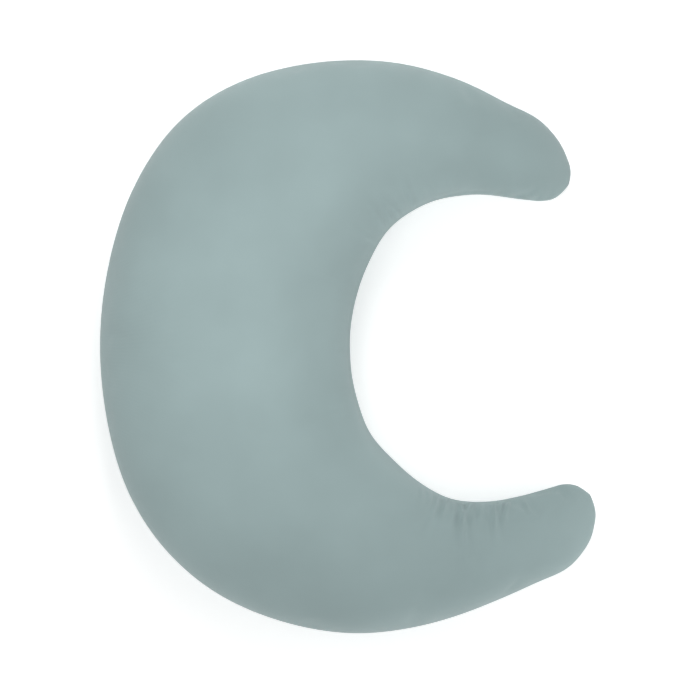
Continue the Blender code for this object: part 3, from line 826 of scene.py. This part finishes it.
BACK_REACH = 0.4445          # radius of the outer edge of the back, from the zip's axis
CHAIN_HALF_ANGLE = math.radians(19.6)
TAPE_HALF_ANGLE = math.radians(22.0)
COIL_DEPTH = 0.00605
COIL_HALF_DEPTH = 0.00070
COIL_TOP = 0.00298
COIL_BOTTOM = -0.00012
COIL_PITCH = 0.00150
COIL_WIRE = 0.00026
TURN_POINTS = 14
WIRE_SIDES = 6
TAPE_DEPTH = 0.0073
TAPE_THICKNESS = 0.00055
TAPE_HEIGHTS = (0.0009, 0.0150)
TAPE_COLUMNS = 180
TAPE_ROWS = 12
BEAD_HEIGHT = 0.00012        # the bead along the tape's sewn edge
BEAD_FROM_EDGE = 0.0008
BEAD_WIDTH = 0.0006
STITCH_LENGTH = 0.0026
STITCH_GAP = 0.0010
STITCH_FROM_LIP = 0.0032
STITCH_HALF_ANGLE = math.radians(24.0)
STITCH_MARGIN = 0.02         # radians of the line measured beyond its last stitch
STITCH_POINTS = 7
STITCH_BOW = 2.4             # rise of a stitch's middle, and how deep its ends sink, both
STITCH_SINK = 1.5            # in thread radii
STITCH_END = 0.25            # the thread thins out to this at a stitch's ends
STITCH_TAPER = 0.4
THREAD_RADIUS = 0.00026
THREAD_SIDES = 6


def back_points(angle, depth, height):
    """Points near the back seam: angle round the arc, depth inwards, height from the seam."""
    reach = BACK_REACH - depth
    x = AXIS[0] - np.cos(angle) * reach
    y = AXIS[1] + np.sin(angle) * reach
    return np.stack([x, y, SEAM_HEIGHT + height * np.ones_like(x)], axis=-1)


def tube_mesh(path, reference, radius, sides):
    """Vertices and quads of a tube along a path. radius may be one for each point."""
    tangent = np.gradient(path, axis=0)
    tangent /= np.linalg.norm(tangent, axis=1, keepdims=True)
    first = np.cross(tangent, reference)
    first /= np.linalg.norm(first, axis=1, keepdims=True)
    second = np.cross(tangent, first)
    turn = np.linspace(0, 2 * math.pi, sides, endpoint=False)
    radius = np.broadcast_to(radius, len(path))[:, None, None]
    ring = first[:, None] * np.cos(turn)[:, None] + second[:, None] * np.sin(turn)[:, None]
    verts = (path[:, None] + ring * radius).reshape(-1, 3)
    index = np.arange(len(path) * sides).reshape(len(path), sides)
    near, far = index[:-1], index[1:]
    quads = np.stack([near, np.roll(near, -1, 1), np.roll(far, -1, 1), far], axis=2)
    caps = [index[0][::-1].tolist(), index[-1].tolist()]
    return verts, quads.reshape(-1, 4).tolist() + caps


def mesh_object(name, verts, faces, material):
    mesh = bpy.data.meshes.new(name)
    mesh.from_pydata(verts.tolist(), [], faces)
    obj = linked_object(name, mesh)
    set_material(obj, material)
    return obj


def make_coil(side, label, material):
    """One side of the chain: a nylon monofilament wound along the tape's edge."""
    length = 2 * CHAIN_HALF_ANGLE * (BACK_REACH - COIL_DEPTH)
    turns = int(length / COIL_PITCH)
    winding = np.linspace(0, 2 * math.pi * turns, turns * TURN_POINTS)
    start = 0.0 if side > 0 else 0.5 * COIL_PITCH
    along = start + winding / (2 * math.pi) * COIL_PITCH
    angle = along / (BACK_REACH - COIL_DEPTH) - CHAIN_HALF_ANGLE
    middle = (COIL_TOP + COIL_BOTTOM) / 2
    reach = (COIL_TOP - COIL_BOTTOM) / 2 - COIL_WIRE
    depth = COIL_DEPTH + COIL_HALF_DEPTH * np.cos(winding)
    height = side * (middle + reach * np.sin(winding))
    path = back_points(angle, depth, height)
    heading = np.stack([np.sin(angle), np.cos(angle), np.zeros_like(angle)], axis=1)
    verts, faces = tube_mesh(path, heading, COIL_WIRE, WIRE_SIDES)
    obj = mesh_object(f"visual_coil_{label}", verts, faces, material)
    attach(obj, "pillow")
    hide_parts(f"zip_coil_{label}")


def make_tape(side, label, material):
    """The woven tape, with a bead along its inner edge where it is sewn to the cover."""
    angle = np.linspace(-TAPE_HALF_ANGLE, TAPE_HALF_ANGLE, TAPE_COLUMNS)
    rows = np.linspace(*TAPE_HEIGHTS, TAPE_ROWS)
    bead_offset = (rows - TAPE_HEIGHTS[1] + BEAD_FROM_EDGE) / BEAD_WIDTH
    bead = BEAD_HEIGHT * np.exp(-bead_offset ** 2)
    points = np.stack([back_points(angle, TAPE_DEPTH - b, side * h)
                       for h, b in zip(rows, bead)], axis=1)
    along = (angle * BACK_REACH)[:, None] * np.ones(len(rows))
    uv = np.stack([along, rows * np.ones_like(along)], axis=2)
    obj = grid_object(f"visual_tape_{label}", points, -side, uv)
    thicken(obj, TAPE_THICKNESS)
    set_material(obj, material)
    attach(obj, "pillow")
    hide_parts(f"zip_tape_{label}")


def at_lip(field, across, chosen):
    """A grid's values on the line of stitches, at the chosen columns."""
    return np.array([[np.interp(STITCH_FROM_LIP, across[c], field[c, :, k])
                      for k in range(3)] for c in chosen])


def along_line(spots, place, values):
    """Three-part values of a line at some lengths along it."""
    return np.stack([np.interp(spots, place, values[:, k]) for k in range(3)], axis=1)


def stitch_mesh(at, place, line, lift):
    """One stitch: a short bowed thread that sinks into the cloth at its ends."""
    share = np.linspace(0.0, 1.0, STITCH_POINTS)
    spots = at + STITCH_LENGTH * share
    swell = np.sin(math.pi * share)
    bow = THREAD_RADIUS * (STITCH_BOW * swell - STITCH_SINK)
    radius = THREAD_RADIUS * np.maximum(swell, STITCH_END) ** STITCH_TAPER
    centre = along_line(spots, place, line) + along_line(spots, place, lift) * bow[:, None]
    return tube_mesh(centre, np.array([0.0, 0.0, 1.0]), radius, THREAD_SIDES)


def make_stitches(covers, form, material):
    """The two rows of lockstitch that hold the tapes, one above and one below the slot."""
    angle = form["angle"](column_places(form, COLUMNS))
    chosen = np.where(np.abs(angle) < STITCH_HALF_ANGLE + STITCH_MARGIN)[0]
    chosen = chosen[np.argsort(angle[chosen])]
    stitched = np.abs(angle[chosen]) < STITCH_HALF_ANGLE
    verts, faces = [], []
    count = 0
    for side, label in HALVES:
        main_grid = covers[label][:, MAIN]
        across = grid_lengths(main_grid)[1]
        line = at_lip(main_grid, across, chosen)
        lift = at_lip(normals_of(main_grid, side), across, chosen)
        steps = np.linalg.norm(np.diff(line, axis=0), axis=1)
        place = np.concatenate([[0.0], np.cumsum(steps)])
        at, end = place[stitched][[0, -1]]
        while at + STITCH_LENGTH < end:
            ring, quads = stitch_mesh(at, place, line, lift)
            faces += [[i + count for i in quad] for quad in quads]
            verts.append(ring)
            count += len(ring)
            at += STITCH_LENGTH + STITCH_GAP
    obj = mesh_object("visual_zip_stitches", np.concatenate(verts), faces, material)
    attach(obj, "pillow")


# ---------------------------------------------------------------- pull tab

TAB_LENGTH = 0.0220
TAB_BAR = 0.0007
TAB_THICKNESS = 0.0009
TAB_HALF_WIDTH = 0.0025
TAB_NECK = 0.0022
TAB_CORNER = 0.0009
TAB_CORNER_POINTS = 14
TAB_BEVEL = 0.00018
TAB_SHARP_ANGLE = math.radians(50.0)
EYE_LENGTH = 0.0044
EYE_HALF_WIDTH = 0.0013
EYE_CORNER = 0.0005
EYE_CORNER_POINTS = 8
RIBS = 5
RIB_PITCH = 0.0014
RIB_FROM_END = 0.0030
RIB_SIZE = (0.00035, 0.0016, 0.00016)    # half sizes along, across and out of the tab
PLATE_MERGE_DISTANCE = 1e-6


def rounded_outline(start_half_width, end_half_width, length, corner, points):
    """A strap's outline from x = 0 to x = -length: round corners, then a round end."""
    ends = ((-corner, start_half_width, corner, 0.0),
            (end_half_width - length, end_half_width, end_half_width, math.pi))
    outline = []
    for x, half_width, reach, heading in ends:
        for turn in np.linspace(-math.pi / 2, math.pi / 2, points) + heading:
            y = math.sin(turn) * reach
            outline.append((x + math.cos(turn) * reach,
                            y + math.copysign(half_width - reach, y)))
    return outline


def flat_plate(name, outlines, thickness, bevel):
    """A plate of the outlines' shape (the first with the others as holes), edges rounded."""
    data = bpy.data.curves.new(name, "CURVE")
    data.dimensions = "2D"
    data.fill_mode = "BOTH"
    data.extrude = thickness / 2 - bevel
    data.bevel_depth = bevel
    data.bevel_resolution = 2
    data.offset = -bevel
    for outline in outlines:
        spline = data.splines.new("POLY")
        spline.points.add(len(outline) - 1)
        for point, (x, y) in zip(spline.points, outline):
            point.co = (x, y, 0.0, 1.0)
        spline.use_cyclic_u = True
    holder = bpy.data.objects.new(name, data)
    bpy.context.scene.collection.objects.link(holder)
    graph = bpy.context.evaluated_depsgraph_get()
    mesh = bpy.data.meshes.new_from_object(holder.evaluated_get(graph))
    bpy.data.objects.remove(holder, do_unlink=True)
    work = bmesh.new()
    work.from_mesh(mesh)
    bmesh.ops.remove_doubles(work, verts=work.verts[:], dist=PLATE_MERGE_DISTANCE)
    work.to_mesh(mesh)
    work.free()
    return mesh


def add_ribs(work):
    """The ribs of the grip, on both faces of the tab."""
    for rib in range(RIBS):
        place = -TAB_LENGTH + RIB_FROM_END + rib * RIB_PITCH
        for face in (-1, 1):
            ball = bmesh.ops.create_uvsphere(work, u_segments=12, v_segments=8, radius=1.0)
            for vert in ball["verts"]:
                x, y, z = (part * size for part, size in zip(vert.co, RIB_SIZE))
                vert.co = (place + x, y, face * TAB_THICKNESS / 2 + z)


def make_pull_tab(material):
    """A rounded metal tab with an eye round the slider's crown and a ribbed grip."""
    outer = rounded_outline(TAB_NECK, TAB_HALF_WIDTH, TAB_LENGTH, TAB_CORNER, TAB_CORNER_POINTS)
    eye = rounded_outline(EYE_HALF_WIDTH, EYE_HALF_WIDTH, EYE_LENGTH, EYE_CORNER,
                          EYE_CORNER_POINTS)
    eye = [(x - TAB_BAR, y) for x, y in eye]
    work = bmesh.new()
    work.from_mesh(flat_plate("tab_plate", [outer, eye], TAB_THICKNESS, TAB_BEVEL))
    add_ribs(work)
    mesh = bpy.data.meshes.new("visual_pull_tab")
    work.to_mesh(mesh)
    work.free()
    obj = linked_object("visual_pull_tab", mesh)
    mesh.set_sharp_from_angle(angle=TAB_SHARP_ANGLE)
    place = np.array(JOINTS["pull_tab_flip"]["pos_m"])
    angle = math.atan2(place[1] - AXIS[1], AXIS[0] - place[0])
    # The plate is drawn in its own XY plane; it stands with X along the zip and Y up.
    stand = Matrix.Rotation(math.pi / 2, 4, "X")
    spin = Matrix.Rotation(math.pi / 2 - angle, 4, "Z")
    mesh.transform(Matrix.Translation(place) @ spin @ Matrix.Translation((TAB_BAR / 2, 0, 0))
                   @ stand)
    set_material(obj, material)
    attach(obj, "pull_tab")
    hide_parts("zip_pull_tab")


# ---------------------------------------------------------------- care label

LABEL_ANGLES = (math.radians(23.6), math.radians(27.2))
LABEL_TOP_DROP = 0.0020
LABEL_DROP = 0.0240
LABEL_DEPTH = 0.0095
LABEL_SLANT = 0.0055
LABEL_CURL = 0.0002
LABEL_STEPS = 25
LABEL_THICKNESS = 0.0003


def make_label(material):
    """A blank satin care label with a slight curl, sewn in beside the zip."""
    angle = np.linspace(*LABEL_ANGLES, LABEL_STEPS)
    drops = np.linspace(0.0, LABEL_DROP, LABEL_STEPS)
    across = (angle - angle[0]) / (angle[-1] - angle[0])
    rows = []
    for drop in drops:
        fall = LABEL_TOP_DROP + drop
        curl = LABEL_CURL * np.sin(across * math.pi) * drop / LABEL_DROP
        depth = LABEL_DEPTH + LABEL_SLANT * (fall / LABEL_DROP) ** 2 + curl
        rows.append(back_points(angle, depth, -fall))
    points = np.stack(rows, axis=1)
    along = (angle * BACK_REACH)[:, None] * np.ones(len(drops))
    uv = np.stack([along, drops * np.ones_like(along)], axis=2)
    obj = grid_object("visual_care_label", points, 1, uv)
    thicken(obj, LABEL_THICKNESS)
    set_material(obj, material)
    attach(obj, "pillow")
    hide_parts("care_label")


# ---------------------------------------------------------------- camera, light and floor

VIEW_WIDTH = 0.7905          # metres of the seam's plane that the frame's side shows
LENS = 300.0
SENSOR = 36.0
VIEW_CENTRE = (0.0018, -0.0038)
SKY_FAR = 0.04               # strength of the sky towards +Y
SKY_NEAR = 1.08              # strength of the sky towards -Y
SKY_SEEN = 1.0               # strength of the plain backdrop that the camera sees
LIGHTS = (
    # name, place, size, power
    ("top", (0.0, 1.1, 0.9), 0.7, 7.9),
    ("left", (-1.1, 0.0, 0.9), 0.7, 1.7),
    ("opening", (0.72, -0.24, 0.38), 0.5, 1.10),
    ("crest", (-0.13, 0.00, 0.5), 0.2, 0.31),
)
LIGHT_TARGET = (-0.05, 0.0, 0.05)
LIGHT_SPREAD = math.radians(170.0)
FLOOR_SIZE = 12.0
FLOOR_HEIGHT = -0.0004
FLOOR_COLOUR = (0.93, 0.93, 0.93)
FLOOR_ROUGHNESS = (0.85, 0.95)
FLOOR_GLOW = 0.22            # light that the floor gives the pillow
FLOOR_SEEN = 0.38            # and the glow that the camera sees


def make_camera():
    """A long lens that looks straight down."""
    data = bpy.data.cameras.new("camera")
    data.lens = LENS
    data.sensor_width = SENSOR
    camera = bpy.data.objects.new("camera", data)
    bpy.context.scene.collection.objects.link(camera)
    distance = VIEW_WIDTH * LENS / SENSOR
    camera.location = (*VIEW_CENTRE, SEAM_HEIGHT + distance)
    bpy.context.scene.camera = camera


def add_area_light(name, place, size, power):
    data = bpy.data.lights.new(name, "AREA")
    data.shape = "SQUARE"
    data.size = size
    data.energy = power
    data.spread = LIGHT_SPREAD
    light = bpy.data.objects.new(name, data)
    bpy.context.scene.collection.objects.link(light)
    light.location = place
    aim = Vector(LIGHT_TARGET) - Vector(place)
    light.rotation_euler = aim.to_track_quat("-Z", "Y").to_euler()
    light.visible_camera = False


def camera_mix(tree, seen):
    """A node that gives input A to all rays but the camera's, which get the value seen."""
    path = add_node(tree, "ShaderNodeLightPath")
    mix = add_node(tree, "ShaderNodeMix", {"B": seen}, data_type="FLOAT")
    tree.links.new(path.outputs["Is Camera Ray"], mix.inputs["Factor"])
    return mix


def make_sky():
    """White light, strong from -Y and weak from +Y, behind an even white backdrop."""
    world = bpy.data.worlds.new("studio")
    world.use_nodes = True
    tree = world.node_tree
    sky = tree.nodes["Background"]
    sky.inputs["Color"].default_value = (1.0, 1.0, 1.0, 1.0)
    where = add_node(tree, "ShaderNodeTexCoord")
    split = add_node(tree, "ShaderNodeSeparateXYZ")
    tree.links.new(where.outputs["Generated"], split.inputs["Vector"])
    strength = camera_mix(tree, SKY_SEEN)
    slope = map_range(tree, split.outputs["Y"], SKY_NEAR, SKY_FAR, -1.0, 1.0)
    tree.links.new(slope, strength.inputs["A"])
    tree.links.new(strength.outputs["Result"], sky.inputs["Strength"])
    bpy.context.scene.world = world


def make_floor():
    """A pale floor that glows a little, so that it shows as white as the backdrop."""
    bpy.ops.mesh.primitive_plane_add(size=FLOOR_SIZE, location=(0.0, 0.0, FLOOR_HEIGHT))
    floor = bpy.context.object
    floor.name = "floor"
    material, tree, shader = new_material("floor_paint", FLOOR_COLOUR, FLOOR_ROUGHNESS[0])
    grain = add_node(tree, "ShaderNodeTexNoise", {"Scale": 40.0, "Detail": 3.0})
    rough = map_range(tree, grain.outputs["Fac"], *FLOOR_ROUGHNESS)
    tree.links.new(rough, shader.inputs["Roughness"])
    shader.inputs["Emission Color"].default_value = (1.0, 1.0, 1.0, 1.0)
    glow = camera_mix(tree, FLOOR_SEEN)
    glow.inputs["A"].default_value = FLOOR_GLOW
    tree.links.new(glow.outputs["Result"], shader.inputs["Emission Strength"])
    set_material(floor, material)


def make_stage():
    make_sky()
    bpy.context.scene.view_settings.view_transform = "Standard"
    for light in LIGHTS:
        add_area_light(*light)
    make_floor()


# ---------------------------------------------------------------- the whole scene

METAL_NODES = ("zip_top_stop_upper", "zip_top_stop_lower", "zip_bottom_stop",
               "zip_slider_body", "zip_slider_crown", "zip_lock_spring")


def main():
    form = measure_form()
    cover = fabric_material("cover_jersey", COVER_COLOUR, wale=0.0011, course=0.0009,
                            depth=0.00018, sheen=0.18, roughness=0.80)
    cotton = fabric_material("case_plain_weave", (0.80, 0.80, 0.78), wale=0.0006, course=0.0006,
                             depth=0.0001, sheen=0.1, roughness=0.85, variation=0.02)
    fibre = fabric_material("hollow_fibre", (0.86, 0.86, 0.85), wale=0.004, course=0.003,
                            depth=0.0008, sheen=0.3, roughness=0.95, variation=0.03)
    tape = fabric_material("tape_twill", (0.34, 0.405, 0.40), wale=0.0008, course=0.0006,
                           depth=0.0001, sheen=0.1, roughness=0.75, variation=0.03)
    satin = fabric_material("label_satin_weave", (0.84, 0.84, 0.82), wale=0.0004, course=0.0008,
                            depth=0.00005, sheen=0.2, roughness=0.50, variation=0.01)
    thread = plain_material("sewing_thread", (0.33, 0.40, 0.395), roughness=0.65,
                            grain_scale=2600.0, depth=0.00012)
    nylon = plain_material("zip_nylon", (0.36, 0.43, 0.425), roughness=0.38,
                           grain_scale=1500.0, depth=0.00002)
    metal = metal_material("satin_nickel")
    make_camera()
    make_stage()
    covers = make_cover(form, cover)
    t = column_places(form, INNER_COLUMNS)
    make_case(form, t, cotton)
    make_filling(form, t, fibre)
    for side, label in ZIP_SIDES:
        make_tape(side, label, tape)
        make_coil(side, label, nylon)
    make_stitches(covers, form, thread)
    make_pull_tab(metal)
    make_label(satin)
    for name in METAL_NODES:
        set_material(frame["nodes"][name], metal)
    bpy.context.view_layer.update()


main()
